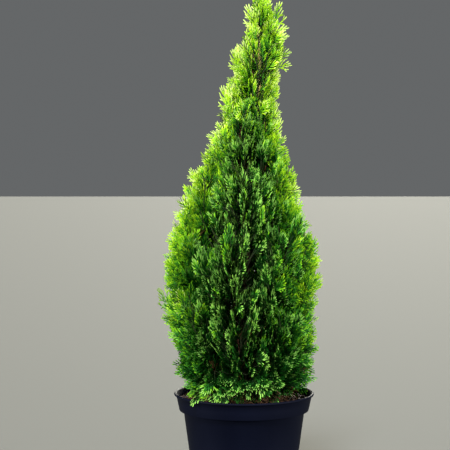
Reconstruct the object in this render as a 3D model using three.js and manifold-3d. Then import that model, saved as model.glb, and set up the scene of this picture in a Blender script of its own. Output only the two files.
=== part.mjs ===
// A potted thuja: a slender conical evergreen in a round black nursery pot filled with bark mulch.
// Millimetres, +Z up. The origin is the centre of the pot's flat underside, and the front is -Y.
import * as THREE from "three";
import { mergeVertices } from "three/addons/utils/BufferGeometryUtils.js";
import Module from "manifold-3d";

const wasm = await Module();
wasm.setup();

// Pot
const POT_HEIGHT = 205;
const RIM_RADIUS = 130;
const LIP_HEIGHT = 4;
const COLLAR_HEIGHT = 32;
const COLLAR_TOP_RADIUS = 126;
const COLLAR_FOOT_RADIUS = 120.5;
const BODY_TOP_RADIUS = 112.5;
const BASE_RADIUS = 89;
const BASE_ROUNDING = 5;
const WALL = 1.8;
const FLOOR = 2.5;
const POT_SIDES = 36;
const DRAIN_HOLES = 8;
const DRAIN_RADIUS = 6;
const DRAIN_CIRCLE = 72;

// Soil
const SOIL_LEVEL = 195;
const SOIL_DIP = 1.5;
const SOIL_BUMP = 1.4;
const FOOT_DISC_RADIUS = 24;

// Trunk
const TRUNK_PATH = [
  [0, 0, SOIL_LEVEL + 0.3],
  [1, 3, 320],
  [4, 1, 460],
  [12, -3, 590],
  [22, 0, 700],
  [28, 1, 790],
  [28, 0, 852],
];
const TRUNK_FOOT_RADIUS = 11;
const TRUNK_TIP_RADIUS = 2;
const FLARE_RADIUS = 4.5;
const FLARE_HEIGHT = 22;
const FLARE_LOBES = 5;
const TRUNK_SIDES = 9;
const TRUNK_RINGS = 13;

// Crown outline: height, how far its middle stands off the pot's axis in X, and its radius there
const CROWN_OUTLINE = [
  [193, 0, 84],
  [208, 3, 108],
  [246, 3, 129],
  [300, -2, 141],
  [345, -5, 149],
  [400, -9, 151],
  [464, -6, 147],
  [500, -2, 138],
  [566, -5, 118],
  [605, 0, 104],
  [664, 4, 80],
  [700, 8, 65],
  [784, 13, 51],
  [812, 22, 47],
  [845, 29, 53],
  [881, 30, 35],
  [900, 31, 31],
  [930, 26, 16],
  [965, 23, 3],
];

// Tiers of plumes from the soil up. Boughs leave the trunk from the foot height up over the spread, and
// climb by their rise before the plume turns up to its tip, which stands at a share of the crown's radius.
// The splay is how wide the lowest twigs lean from the stem, in degrees.
const TIERS = [
  { name: "skirt", count: 7, foot: 206, spread: 22, tip: 328, turn: 14, rise: 0.02, share: 0.72, splay: 84 },
  { name: "lower", count: 7, foot: 244, spread: 52, tip: 480, turn: -8, rise: 0.15, share: 0.7, splay: 70 },
  { name: "middle", count: 6, foot: 334, spread: 56, tip: 606, turn: 22, rise: 0.2, share: 0.66, splay: 70 },
  { name: "upper", count: 5, foot: 466, spread: 56, tip: 715, turn: 36, rise: 0.2, share: 0.58, splay: 70 },
  { name: "high", count: 3, foot: 590, spread: 48, tip: 812, turn: 38, rise: 0.2, share: 0.5, splay: 66 },
  { name: "crown", count: 3, foot: 700, spread: 44, tip: 880, turn: 4, rise: 0.2, share: 0.48, splay: 66 },
];
const BOUGH_RADII = { skirt: 4.2, lower: 5.2, middle: 4.6 };
const TWIG_COUNTS = { skirt: 12, lower: 13, middle: 13, upper: 13, high: 13, crown: 14, leader: 11 };
const LEADER_HEIGHT = 963;
const CROWN_SEED = 20;
const TURN_SCATTER = 12;
const FOOT_STEP = 3;
const TIP_SCATTER = 34;
const BOUGH_SHARE = 0.27;
const BOUGH_TAPER = 0.62;
const BOUGH_SIDES = 5;
const BOUGH_RINGS = 3;

// Foliage
const STEM_RADIUS = 2.6;
const STEM_TIP_RADIUS = 1.2;
const STEM_RINGS = 4;
const STEM_END = 0.84;
const TWIG_RADIUS = 1.6;
const LONGEST_TWIG_RUN = 130;
const LONGEST_SPRAY = 104;
const SHORTEST_SPRAY = 24;
const STEEP_LEAN = 32;
const SPRAY_TWIST = 42;
const GOLDEN_ANGLE = 137.5;
const LEAN_TRIES = [0, -13, -26, -38];
const TURN_TRIES = [0, 25, -25];
const SPRAY_SPACING = 46;
const LOW_HEIGHT = 62;
const LOW_DROOP = -0.35;
const CORE_SHARE = 0.7;
const CORE_LIMIT = 30;
const CORE_SIDES = 6;
const CORE_RINGS = 4;
const SIMPLIFY = 0.02;

// Clearances
const SEAT_GAP = 0.3;
const LIMB_CLEARANCE = 2.2;
const SPACE_GAP = 2.4;
const GROUND_CLEARANCE = 4;
const NEIGHBOUR_REACH = 2 * LONGEST_TWIG_RUN;

// A spray's toothed outline: across and along it, for a spray one unit long. Its teeth alternate.
const SPRAY_OUTLINE = [
  [0, 0],
  [0.31, 0.58],
  [0.13, 0.54],
  [0.21, 0.87],
  [0.07, 0.8],
  [0, 1],
  [-0.23, 0.78],
  [-0.12, 0.6],
  [-0.3, 0.46],
];
const SPRAY_MIDDLE = 0.42;
const SPRAY_THICKNESS = 0.04;

const UP = new THREE.Vector3(0, 0, 1);

// Materials
const potPlastic = new THREE.MeshStandardMaterial({ color: 0x14161f, roughness: 0.5, metalness: 0 });
const barkMulch = new THREE.MeshStandardMaterial({ color: 0x4a2c1f, roughness: 0.95, metalness: 0 });
const bark = new THREE.MeshStandardMaterial({ color: 0x5a3d2b, roughness: 0.9, metalness: 0 });
const foliage = new THREE.MeshStandardMaterial({ color: 0x3f8a1c, roughness: 0.6, metalness: 0 });

// Small tools

function seededRandom(seed) {
  let state = seed >>> 0;
  return () => {
    state = (state + 0x6d2b79f5) >>> 0;
    let t = state;
    t = Math.imul(t ^ (t >>> 15), t | 1);
    t ^= t + Math.imul(t ^ (t >>> 7), t | 61);
    return ((t ^ (t >>> 14)) >>> 0) / 4294967296;
  };
}

const mix = (a, b, share) => a + (b - a) * share;
const clamp = (value, low, high) => Math.min(high, Math.max(low, value));
const radians = THREE.MathUtils.degToRad;

// The solid of a closed three.js geometry
function solidOf(geometry) {
  const bare = geometry.clone();
  bare.deleteAttribute("normal");
  bare.deleteAttribute("uv");
  const merged = mergeVertices(bare, 1e-3);
  return new wasm.Manifold(
    new wasm.Mesh({
      numProp: 3,
      vertProperties: new Float32Array(merged.attributes.position.array),
      triVerts: new Uint32Array(merged.index.array),
    }),
  );
}

// The three.js geometry of a solid
function geometryOf(solid) {
  const made = solid.getMesh();
  const geometry = new THREE.BufferGeometry();
  geometry.setAttribute("position", new THREE.BufferAttribute(new Float32Array(made.vertProperties), 3));
  geometry.setIndex(new THREE.BufferAttribute(new Uint32Array(made.triVerts), 1));
  geometry.computeVertexNormals();
  return geometry;
}

// The largest piece of a solid, which leaves out loose scraps and fills sealed hollows
function largestBody(solid) {
  return solid.decompose().reduce((best, body) => (body.volume() > best.volume() ? body : best));
}

function namedMesh(name, geometry, material) {
  const mesh = new THREE.Mesh(geometry, material);
  mesh.name = name;
  return mesh;
}

// Bends a geometry that stands on the Y axis from -1 to 1 along a curve. Its X and Z become the section.
function bendAlong(geometry, curve, side, radiusAt) {
  const position = geometry.getAttribute("position");
  for (let i = 0; i < position.count; i++) {
    const t = clamp((position.getY(i) + 1) / 2, 0, 1);
    const tangent = curve.getTangent(t);
    const across = side.clone().addScaledVector(tangent, -side.dot(tangent)).normalize();
    const other = new THREE.Vector3().crossVectors(across, tangent);
    const turn = Math.atan2(position.getZ(i), position.getX(i));
    const radius = Math.hypot(position.getX(i), position.getZ(i)) * radiusAt(t, turn);
    const point = curve
      .getPoint(t)
      .addScaledVector(across, radius * Math.cos(turn))
      .addScaledVector(other, radius * Math.sin(turn));
    position.setXYZ(i, point.x, point.y, point.z);
  }
  return geometry;
}

const limbGeometry = (curve, side, radiusAt, sides, rings) =>
  bendAlong(new THREE.CylinderGeometry(1, 1, 2, sides, rings), curve, side, radiusAt);

// A stretch of a curve as a curve of its own
class PartOfCurve extends THREE.Curve {
  constructor(whole, from, to) {
    super();
    Object.assign(this, { whole, from, to });
  }
  getPoint(t, target = new THREE.Vector3()) {
    return this.whole.getPoint(mix(this.from, this.to, t), target);
  }
  getTangent(t, target = new THREE.Vector3()) {
    return this.whole.getTangent(mix(this.from, this.to, t), target);
  }
}

// How far a point lies from a path of points, and how far along that path, from 0 to 1
function distanceToPath(point, path) {
  let best = Infinity;
  let along = 0;
  const count = path.points.length - 1;
  for (let i = 0; i < count; i++) {
    const a = path.points[i];
    const b = path.points[i + 1];
    const [dx, dy, dz] = [b.x - a.x, b.y - a.y, b.z - a.z];
    const [px, py, pz] = [point.x - a.x, point.y - a.y, point.z - a.z];
    const share = clamp((px * dx + py * dy + pz * dz) / (dx * dx + dy * dy + dz * dz), 0, 1);
    const distance = Math.hypot(px - share * dx, py - share * dy, pz - share * dz);
    if (distance < best) {
      best = distance;
      along = (i + share) / count;
    }
  }
  return { distance: best, along };
}

// A path with the ball that holds it, so that far paths are passed over quickly
function pathInBall(points) {
  const centre = new THREE.Box3().setFromPoints(points).getCenter(new THREE.Vector3());
  const radius = Math.max(...points.map((point) => point.distanceTo(centre)));
  return { points, centre, radius };
}

const farFrom = (point, path, distance) => point.distanceTo(path.centre) - path.radius > distance;

// Pot and soil

const collarFoot = POT_HEIGHT - COLLAR_HEIGHT;

function potProfile() {
  return [
    [0, 0],
    [BASE_RADIUS - BASE_ROUNDING, 0],
    [BASE_RADIUS - 1, 1.5],
    [BASE_RADIUS + 0.6, BASE_ROUNDING],
    [BODY_TOP_RADIUS, collarFoot],
    [COLLAR_FOOT_RADIUS - 1.5, collarFoot - 0.5],
    [COLLAR_FOOT_RADIUS, collarFoot + 1.5],
    [COLLAR_TOP_RADIUS, POT_HEIGHT - LIP_HEIGHT - 1],
    [RIM_RADIUS - 0.6, POT_HEIGHT - LIP_HEIGHT],
    [RIM_RADIUS, POT_HEIGHT - 1],
    [RIM_RADIUS - 1.2, POT_HEIGHT],
    [COLLAR_TOP_RADIUS - WALL + 0.6, POT_HEIGHT],
    [COLLAR_FOOT_RADIUS - WALL, collarFoot + 2.5],
    [BODY_TOP_RADIUS - WALL, collarFoot + 0.5],
    [BASE_RADIUS + 0.6 - WALL, BASE_ROUNDING + 1],
    [BASE_RADIUS - 3.5, FLOOR],
    [0, FLOOR],
  ];
}

function lathe(profile, sides) {
  const points = profile.map(([radius, height]) => new THREE.Vector2(radius, height));
  return new THREE.LatheGeometry(points, sides).rotateX(Math.PI / 2);
}

function makePot() {
  let solid = solidOf(lathe(potProfile(), POT_SIDES));
  for (let i = 0; i < DRAIN_HOLES; i++) {
    const hole = new THREE.CylinderGeometry(DRAIN_RADIUS, DRAIN_RADIUS, 4 * FLOOR, 8).rotateX(Math.PI / 2);
    const turn = (2 * Math.PI * (i + 0.5)) / DRAIN_HOLES;
    hole.translate(DRAIN_CIRCLE * Math.cos(turn), DRAIN_CIRCLE * Math.sin(turn), 0);
    solid = solid.subtract(solidOf(hole));
  }
  return geometryOf(solid);
}

// The bark mulch and root ball as one filling. Its top is bumpy, but flat under the trunk.
function makeSoil() {
  const inset = WALL + SEAT_GAP;
  const wallTop = mix(COLLAR_FOOT_RADIUS, COLLAR_TOP_RADIUS, (SOIL_LEVEL - collarFoot) / COLLAR_HEIGHT);
  const geometry = lathe(
    [
      [0, FLOOR + SEAT_GAP],
      [BASE_RADIUS - 4, FLOOR + SEAT_GAP],
      [BASE_RADIUS + 0.2 - inset, BASE_ROUNDING + 2],
      [BODY_TOP_RADIUS - 0.1 - inset, collarFoot + 0.5],
      [COLLAR_FOOT_RADIUS - 0.3 - inset, collarFoot + 3.2],
      [wallTop - 0.6 - inset, SOIL_LEVEL - SOIL_DIP],
      [92, SOIL_LEVEL - 0.4],
      [60, SOIL_LEVEL],
      [FOOT_DISC_RADIUS, SOIL_LEVEL],
      [0, SOIL_LEVEL],
    ],
    POT_SIDES,
  );
  const position = geometry.getAttribute("position");
  for (let i = 0; i < position.count; i++) {
    const [x, y, z] = [position.getX(i), position.getY(i), position.getZ(i)];
    const reach = Math.hypot(x, y);
    if (z < SOIL_LEVEL - 2 * SOIL_DIP || reach < FOOT_DISC_RADIUS + 1) continue;
    const bump = Math.sin(0.11 * x + 1.3) * Math.cos(0.13 * y) + 0.6 * Math.sin(0.31 * x - 0.27 * y);
    position.setZ(i, z + SOIL_BUMP * bump);
  }
  return geometry;
}

// Trunk

const trunkCurve = new THREE.CatmullRomCurve3(TRUNK_PATH.map((p) => new THREE.Vector3(...p)));
const trunkSide = new THREE.Vector3(0, 1, 0);

function trunkRadius(along) {
  return mix(TRUNK_FOOT_RADIUS, TRUNK_TIP_RADIUS, Math.pow(along, 0.85));
}

function trunkGeometry(extra) {
  const length = LEADER_HEIGHT - SOIL_LEVEL;
  const geometry = limbGeometry(
    trunkCurve,
    trunkSide,
    (along, turn) => {
      const fade = Math.exp((-along * length) / FLARE_HEIGHT);
      const flare = FLARE_RADIUS * fade * (1 + 0.35 * Math.cos(FLARE_LOBES * turn));
      return trunkRadius(along) + flare + extra;
    },
    TRUNK_SIDES,
    TRUNK_RINGS,
  );
  return cutLevel(geometry, SOIL_LEVEL + SEAT_GAP);
}

// Cuts the foot of the trunk level, a seat gap above the soil
function cutLevel(geometry, height) {
  const position = geometry.getAttribute("position");
  for (let i = 0; i < position.count; i++) if (position.getZ(i) < height + 5) position.setZ(i, height);
  return geometry;
}

function trunkAt(height) {
  let [low, high] = [0, 1];
  for (let i = 0; i < 30; i++) {
    const middle = (low + high) / 2;
    if (trunkCurve.getPoint(middle).z < height) low = middle;
    else high = middle;
  }
  return trunkCurve.getPoint(low);
}

// The trunk grown by the seat gap, for cutting limbs and stems clear of it
const trunkSeat = solidOf(trunkGeometry(SEAT_GAP + 0.05));

// Crown outline

function crownAt(height) {
  const rows = CROWN_OUTLINE;
  const last = rows.length - 1;
  const z = clamp(height, rows[0][0], rows[last][0]);
  const i = clamp(
    rows.findIndex((row) => row[0] > z) - 1,
    0,
    last - 1,
  );
  const index = z >= rows[last][0] ? last - 1 : i;
  const [a, b] = [rows[index], rows[index + 1]];
  const share = (z - a[0]) / (b[0] - a[0]);
  return { middle: mix(a[1], b[1], share), radius: mix(a[2], b[2], share) };
}

function insideCrown(point) {
  if (point.z > CROWN_OUTLINE[CROWN_OUTLINE.length - 1][0]) return false;
  const { middle, radius } = crownAt(point.z);
  return Math.hypot(point.x - middle, point.y) <= radius;
}

function clearOfPot(point) {
  const reach = Math.hypot(point.x, point.y);
  if (reach > RIM_RADIUS + GROUND_CLEARANCE) return true;
  const floor = reach > COLLAR_TOP_RADIUS - 6 ? POT_HEIGHT : SOIL_LEVEL + SOIL_BUMP;
  return point.z > floor + GROUND_CLEARANCE;
}

// Plumes: each is one curve from the trunk to its tip. The bough is its first stretch, the stem the rest.

function plumeCurve(azimuth, foot, tip, tier) {
  const start = trunkAt(foot);
  const outward = new THREE.Vector3(Math.cos(azimuth), Math.sin(azimuth), 0);
  const crownPoint = (height) => {
    const { middle, radius } = crownAt(height);
    return new THREE.Vector3(middle, 0, height).addScaledVector(outward, radius * tier.share);
  };
  const end = crownPoint(tip);
  const reach = Math.hypot(end.x - start.x, end.y - start.y);
  const rise = tip - foot;
  const first = start.clone().addScaledVector(outward, 0.5 * reach).addScaledVector(UP, tier.rise * rise);
  return new THREE.CubicBezierCurve3(start, first, crownPoint(tip - 0.42 * rise), end);
}

function layOutPlumes() {
  const random = seededRandom(CROWN_SEED);
  const plumes = [];
  TIERS.forEach((tier, level) => {
    for (let i = 0; i < tier.count; i++) {
      const azimuth = radians(tier.turn + (360 * i) / tier.count + TURN_SCATTER * (2 * random() - 1));
      const foot = tier.foot + (tier.spread * ((FOOT_STEP * i) % tier.count)) / tier.count;
      const tip = tier.tip + TIP_SCATTER * (random() - 0.5);
      const curve = plumeCurve(azimuth, foot, tip, tier);
      const thickness = BOUGH_RADII[tier.name];
      const split = thickness ? BOUGH_SHARE : 0;
      plumes.push({
        name: `${tier.name}_plume_${i + 1}`,
        boughName: `${tier.name}_bough_${i + 1}`,
        tier,
        seed: 100 * (level + 1) + i,
        side: new THREE.Vector3(-Math.sin(azimuth), Math.cos(azimuth), 0),
        thickness,
        bough: thickness ? new PartOfCurve(curve, 0, split) : null,
        stem: new PartOfCurve(curve, split + (thickness ? SEAT_GAP / curve.getLength() : 0), 1),
      });
    }
  });
  const tip = trunkCurve.getPoint(1);
  const top = new THREE.Vector3(crownAt(LEADER_HEIGHT).middle, 0, LEADER_HEIGHT - 30);
  plumes.push({
    name: "leader_tuft",
    tier: { name: "leader", splay: 60 },
    seed: 900,
    side: new THREE.Vector3(0, 1, 0),
    bough: null,
    stem: new THREE.LineCurve3(tip.clone().addScaledVector(UP, SEAT_GAP), top),
  });
  for (const plume of plumes) plume.path = pathInBall(plume.stem.getPoints(7));
  for (const plume of plumes)
    plume.neighbours = plumes.filter((other) => other !== plume && pathsApart(plume, other) < NEIGHBOUR_REACH);
  return plumes;
}

function pathsApart(plume, other) {
  return Math.min(...plume.path.points.map((point) => distanceToPath(point, other.path).distance));
}

const plumes = layOutPlumes();

const limbs = [
  {
    path: pathInBall(trunkCurve.getPoints(24)),
    thickest: trunkRadius(0) + FLARE_RADIUS,
    radiusAt: (along) => trunkRadius(along) + FLARE_RADIUS * Math.exp(-30 * along),
  },
  ...plumes
    .filter((plume) => plume.bough)
    .map((plume) => ({
      owner: plume,
      path: pathInBall(plume.bough.getPoints(5)),
      thickest: plume.thickness,
      radiusAt: (along) => boughRadius(plume, along),
    })),
];

function boughRadius(plume, along) {
  return plume.thickness * mix(1, BOUGH_TAPER, along);
}

function makeBough(plume) {
  const radiusAt = (along) => boughRadius(plume, along);
  const limb = solidOf(limbGeometry(plume.bough, plume.side, radiusAt, BOUGH_SIDES, BOUGH_RINGS));
  return geometryOf(largestBody(limb.subtract(trunkSeat)));
}

// Foliage

// True where a point lies in a plume's own space: nearer its stem than any other, clear of limbs and pot
function inOwnSpace(point, plume) {
  if (!insideCrown(point) || !clearOfPot(point)) return false;
  for (const limb of limbs) {
    if (farFrom(point, limb.path, limb.thickest + LIMB_CLEARANCE)) continue;
    const { distance, along } = distanceToPath(point, limb.path);
    if (distance < limb.radiusAt(along) + LIMB_CLEARANCE) return false;
  }
  const own = distanceToPath(point, plume.path).distance + SPACE_GAP;
  return plume.neighbours.every(
    (other) => farFrom(point, other.path, own) || distanceToPath(point, other.path).distance > own,
  );
}

// How far a straight twig could run from a point before it left the plume's space
function freeRun(start, direction, plume) {
  const step = 3;
  let run = 0;
  const point = start.clone();
  while (run < LONGEST_TWIG_RUN) {
    point.addScaledVector(direction, step);
    if (run > 2 * step && !inOwnSpace(point, plume)) break;
    run += step;
  }
  return run;
}

// The points over a spray that have to lie in its plume's space
function spraySamples(root, direction, width, length) {
  const samples = [];
  const at = (across, along) =>
    root.clone().addScaledVector(direction, along * length).addScaledVector(width, across * length);
  SPRAY_OUTLINE.forEach(([across, along], i) => {
    const [nextAcross, nextAlong] = SPRAY_OUTLINE[(i + 1) % SPRAY_OUTLINE.length];
    for (const share of [0, 0.34, 0.67]) {
      const [x, y] = [mix(across, nextAcross, share), mix(along, nextAlong, share)];
      if (y < 0.12) continue;
      samples.push(at(x, y), at(0.55 * x, y));
    }
  });
  for (let along = 0.15; along < 1; along += 0.08) samples.push(at(0, along));
  return samples;
}

// A spray of scale leaves: a flat toothed blade, thickest in its middle
function sprayGeometry(root, direction, width, length) {
  const normal = new THREE.Vector3().crossVectors(width, direction);
  const at = (across, along, lift) =>
    root
      .clone()
      .addScaledVector(direction, along * length)
      .addScaledVector(width, across * length)
      .addScaledVector(normal, lift);
  const half = 0.5 * SPRAY_THICKNESS * length;
  const points = [
    ...SPRAY_OUTLINE.map(([across, along]) => at(across, along, 0)),
    at(0, SPRAY_MIDDLE, half),
    at(0, SPRAY_MIDDLE, -half),
  ];
  const count = SPRAY_OUTLINE.length;
  const faces = [];
  for (let i = 0; i < count; i++) {
    const next = (i + 1) % count;
    faces.push(i, next, count, next, i, count + 1);
  }
  return new THREE.BufferGeometry().setFromPoints(points).setIndex(faces);
}

// The longest spray up to a length that fits from a root, or 0
function fittingLength(plume, root, direction, width, length) {
  for (let size = length; size >= SHORTEST_SPRAY; size *= 0.9) {
    const samples = spraySamples(root, direction, width, size);
    if (samples.every((sample) => inOwnSpace(sample, plume))) return size;
  }
  return 0;
}

// Sprays stand in upright planes through their own line, each turned a little out of it
function sprayWidth(direction, twist) {
  const level = new THREE.Vector3().crossVectors(direction, UP);
  if (level.lengthSq() < 0.02) level.set(1, 0, 0);
  const width = new THREE.Vector3().crossVectors(level.normalize(), direction).normalize();
  return width.applyAxisAngle(direction, twist);
}

// The radius of a plume's core at a point of its stem, from the room round it
function coreRadius(point, plume) {
  let room = Infinity;
  for (const other of plume.neighbours)
    room = Math.min(room, distanceToPath(point, other.path).distance / 2);
  for (const limb of limbs) {
    if (limb.owner === plume) continue;
    const { distance, along } = distanceToPath(point, limb.path);
    room = Math.min(room, distance - limb.radiusAt(along) - LIMB_CLEARANCE);
  }
  const { middle, radius } = crownAt(point.z);
  const edge = radius - Math.hypot(point.x - middle, point.y);
  return clamp(CORE_SHARE * Math.min(room, 1.3 * edge), 1.8, CORE_LIMIT);
}

function makeCore(plume) {
  const core = new PartOfCurve(plume.stem, 0.08, 0.82);
  const radii = core.getPoints(6).map((point) => coreRadius(point, plume));
  const radiusAt = (along) => {
    const place = clamp(along, 0, 1) * (radii.length - 1);
    const index = Math.min(Math.floor(place), radii.length - 2);
    return mix(radii[index], radii[index + 1], place - index);
  };
  return bendAlong(new THREE.SphereGeometry(1, CORE_SIDES, CORE_RINGS), core, plume.side, radiusAt);
}

// A spray on its way out of the stem, at a place along it, with a lean from it and a turn round it.
// Close above the soil it spreads out level.
function sprayAt(plume, place, lean, turn, twist) {
  const start = plume.stem.getPoint(place);
  const tangent = plume.stem.getTangent(place);
  const across = plume.side.clone().addScaledVector(tangent, -plume.side.dot(tangent)).normalize();
  const sideways = across.applyAxisAngle(tangent, turn);
  const direction = tangent.multiplyScalar(Math.cos(lean)).addScaledVector(sideways, Math.sin(lean));
  if (start.z < SOIL_LEVEL + LOW_HEIGHT) direction.z = Math.max(direction.z, LOW_DROOP);
  direction.normalize();
  const depth = coreRadius(start, plume) / Math.max(Math.sin(lean), 0.3);
  const run = freeRun(start, direction, plume);
  const wanted = Math.min(LONGEST_SPRAY, run - 0.5 * depth);
  const bare = run - wanted;
  const root = start.clone().addScaledVector(direction, bare);
  const width = sprayWidth(direction, twist);
  const length = fittingLength(plume, root, direction, width, wanted);
  const middle = root.clone().addScaledVector(direction, 0.6 * length);
  return { start, direction, width, root, depth, bare, length, middle };
}

// A spray is worth its length, more where it leans out, and less close to sprays that are there already
function worthOf(spray, lean, placed) {
  const nearest = Math.min(SPRAY_SPACING, ...placed.map((middle) => middle.distanceTo(spray.middle)));
  return spray.length * (0.35 + Math.sin(lean)) * (0.15 + nearest / SPRAY_SPACING);
}

// Adds the best of a few tries round a twig's own lean and turn: a spray with its root sunk in the core,
// or on a thin twig where the core doesn't reach it
function addSpray(pieces, placed, plume, place, lean, turn, twist) {
  let best = { worth: 0 };
  for (const leanStep of LEAN_TRIES)
    for (const turnStep of TURN_TRIES) {
      const tried = Math.max(lean + radians(leanStep), 0.1);
      const spray = sprayAt(plume, place, tried, turn + radians(turnStep), twist);
      const worth = worthOf(spray, tried, placed);
      if (worth > best.worth) best = { ...spray, worth };
    }
  if (!best.worth) return;
  placed.push(best.middle);
  if (best.bare > 0.7 * best.depth) {
    const foot = best.root.clone().addScaledVector(best.direction, 0.3 * best.length);
    const twig = new THREE.LineCurve3(best.start, foot);
    pieces.push(solidOf(limbGeometry(twig, best.width, () => TWIG_RADIUS, 3, 1)));
  }
  pieces.push(solidOf(sprayGeometry(best.root, best.direction, best.width, best.length)));
}

// Grows one mass of foliage: a stem with its core, and twigs round it that carry the sprays
function makePlume(plume) {
  const random = seededRandom(plume.seed);
  const radiusAt = (along) => {
    const foot = plume.thickness ? plume.thickness * BOUGH_TAPER : STEM_RADIUS;
    return mix(foot, STEM_TIP_RADIUS, along);
  };
  const pieces = [
    solidOf(limbGeometry(new PartOfCurve(plume.stem, 0, STEM_END), plume.side, radiusAt, 3, STEM_RINGS)),
    solidOf(makeCore(plume)),
  ];
  const twistNow = () => radians(SPRAY_TWIST) * (2 * random() - 1);
  const placed = [];
  addSpray(pieces, placed, plume, STEM_END - 0.06, 0.02, 0, twistNow());
  const twigs = TWIG_COUNTS[plume.tier.name];
  for (let k = 0; k < twigs; k++) {
    const place = mix(0.04, 0.92, (k + 0.5 * random()) / (twigs - 0.5));
    const lean = radians(mix(plume.tier.splay, STEEP_LEAN, place));
    addSpray(pieces, placed, plume, place, lean, k * radians(GOLDEN_ANGLE) + 0.4 * random(), twistNow());
  }
  const fused = wasm.Manifold.union(pieces).subtract(trunkSeat).simplify(SIMPLIFY);
  return geometryOf(largestBody(solidOf(geometryOf(fused))));
}

// The whole plant

function buildPottedThuja() {
  const plant = new THREE.Group();
  plant.add(namedMesh("pot", makePot(), potPlastic));
  plant.add(namedMesh("soil", makeSoil(), barkMulch));
  plant.add(namedMesh("trunk", trunkGeometry(0), bark));
  for (const plume of plumes) {
    if (plume.bough) plant.add(namedMesh(plume.boughName, makeBough(plume), bark));
    plant.add(namedMesh(plume.name, makePlume(plume), foliage));
  }
  return plant;
}

export default buildPottedThuja();
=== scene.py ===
"""Looks of the potted thuja: fine foliage by the solids' own rule, barked limbs, pot, mulch and studio."""
import math
from itertools import product

import bmesh
import bpy
import numpy as np
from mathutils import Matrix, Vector


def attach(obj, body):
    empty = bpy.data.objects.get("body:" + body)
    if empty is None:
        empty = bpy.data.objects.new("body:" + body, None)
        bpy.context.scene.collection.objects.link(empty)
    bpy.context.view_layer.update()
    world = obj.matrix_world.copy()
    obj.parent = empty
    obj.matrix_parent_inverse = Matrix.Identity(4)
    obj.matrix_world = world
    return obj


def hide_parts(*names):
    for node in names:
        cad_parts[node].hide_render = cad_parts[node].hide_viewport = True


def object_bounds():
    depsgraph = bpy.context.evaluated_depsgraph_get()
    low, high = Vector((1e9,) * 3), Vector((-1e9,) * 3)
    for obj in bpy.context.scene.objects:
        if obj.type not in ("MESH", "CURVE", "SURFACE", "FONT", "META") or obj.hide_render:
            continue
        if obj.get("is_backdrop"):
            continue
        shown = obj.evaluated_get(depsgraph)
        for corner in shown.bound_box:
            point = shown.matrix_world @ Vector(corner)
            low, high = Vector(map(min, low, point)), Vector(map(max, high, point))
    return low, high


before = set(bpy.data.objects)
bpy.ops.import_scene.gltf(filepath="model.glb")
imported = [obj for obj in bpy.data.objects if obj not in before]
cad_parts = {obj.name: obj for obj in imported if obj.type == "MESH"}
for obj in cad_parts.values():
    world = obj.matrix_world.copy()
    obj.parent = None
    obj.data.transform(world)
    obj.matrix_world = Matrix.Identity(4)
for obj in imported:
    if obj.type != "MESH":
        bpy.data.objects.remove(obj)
cad_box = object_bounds()

MM = 0.001
UP = np.array([0.0, 0.0, 1.0])
LEVEL = np.array([1.0, 1.0, 0.0])

# Pot, in metres
POT_HEIGHT = 0.205
RIM_RADIUS = 0.130
LIP_HEIGHT = 0.004
LIP_ROUNDING = 0.0022
COLLAR_HEIGHT = 0.032
COLLAR_FOOT = POT_HEIGHT - COLLAR_HEIGHT
COLLAR_TOP_RADIUS = 0.126
COLLAR_FOOT_RADIUS = 0.1205
BODY_TOP_RADIUS = 0.1125
BASE_RADIUS = 0.089
BASE_ROUNDING = 0.005
WALL = 0.0018
FLOOR = 0.0025
DRAIN_HOLES = 8
DRAIN_RADIUS = 0.006
DRAIN_CIRCLE = 0.072
POT_SIDES = 128

# Soil: its level under the trunk, its edge, its bumps, and the loose chips of bark on it
SOIL_LEVEL = 0.195
SOIL_EDGE = 0.1215
SOIL_SIDES = 160
SOIL_RINGS = 60
SOIL_SINK = 0.0004
SOIL_DIP = 0.002
SOIL_DIP_RADIUS = 0.12
SOIL_BUMP = 0.00098
SOIL_GRAIN = 0.0011
FOOT_DISC_RADIUS = 0.02
CHIP_COUNT = 2600
CHIP_LENGTHS = (0.0035, 0.0115)
CHIP_WIDTHS = (0.28, 0.6)
CHIP_THICKNESSES = (0.0007, 0.002)
CHIP_HEIGHTS = (-0.0004, 0.0016)
CHIP_OUTLINE = np.array([[-1, -0.7], [0.2, -1], [1, -0.3], [0.7, 0.8], [-0.8, 0.9]])
CHIP_CAPS = np.array([[0, 2, 1], [0, 3, 2], [0, 4, 3], [5, 6, 7], [5, 7, 8], [5, 8, 9]])
CHIP_SHARES = (0.4, 0.42, 0.18)

# Trunk: the path of its middle line and its radii
TRUNK_PATH = np.array([
    [0, 0, 195.3],
    [1, 3, 320],
    [4, 1, 460],
    [12, -3, 590],
    [22, 0, 700],
    [28, 1, 790],
    [28, 0, 852],
]) * MM
TRUNK_FOOT_RADIUS = 0.011
TRUNK_TIP_RADIUS = 0.002
FLARE_RADIUS = 0.0045
FLARE_HEIGHT = 0.022
FLARE_LOBES = 5
LOBE_DEPTH = 0.35
TRUNK_TAPER = 0.85
TRUNK_RINGS = 120
TRUNK_SIDES = 28
BARK_WAVES = (5, 9, 14)
TRUNK_BARK = 0.1
BOUGH_BARK = 0.12

# Crown outline: height, how far its middle stands off the pot's axis in X, and its radius there
CROWN_OUTLINE = np.array([
    [193, 0, 84],
    [208, 3, 108],
    [246, 3, 129],
    [300, -2, 141],
    [345, -5, 149],
    [400, -9, 151],
    [464, -6, 147],
    [500, -2, 138],
    [566, -5, 118],
    [605, 0, 104],
    [664, 4, 80],
    [700, 8, 65],
    [784, 13, 51],
    [812, 22, 47],
    [845, 29, 53],
    [881, 30, 35],
    [900, 31, 31],
    [930, 26, 16],
    [965, 23, 3],
]) * MM

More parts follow.
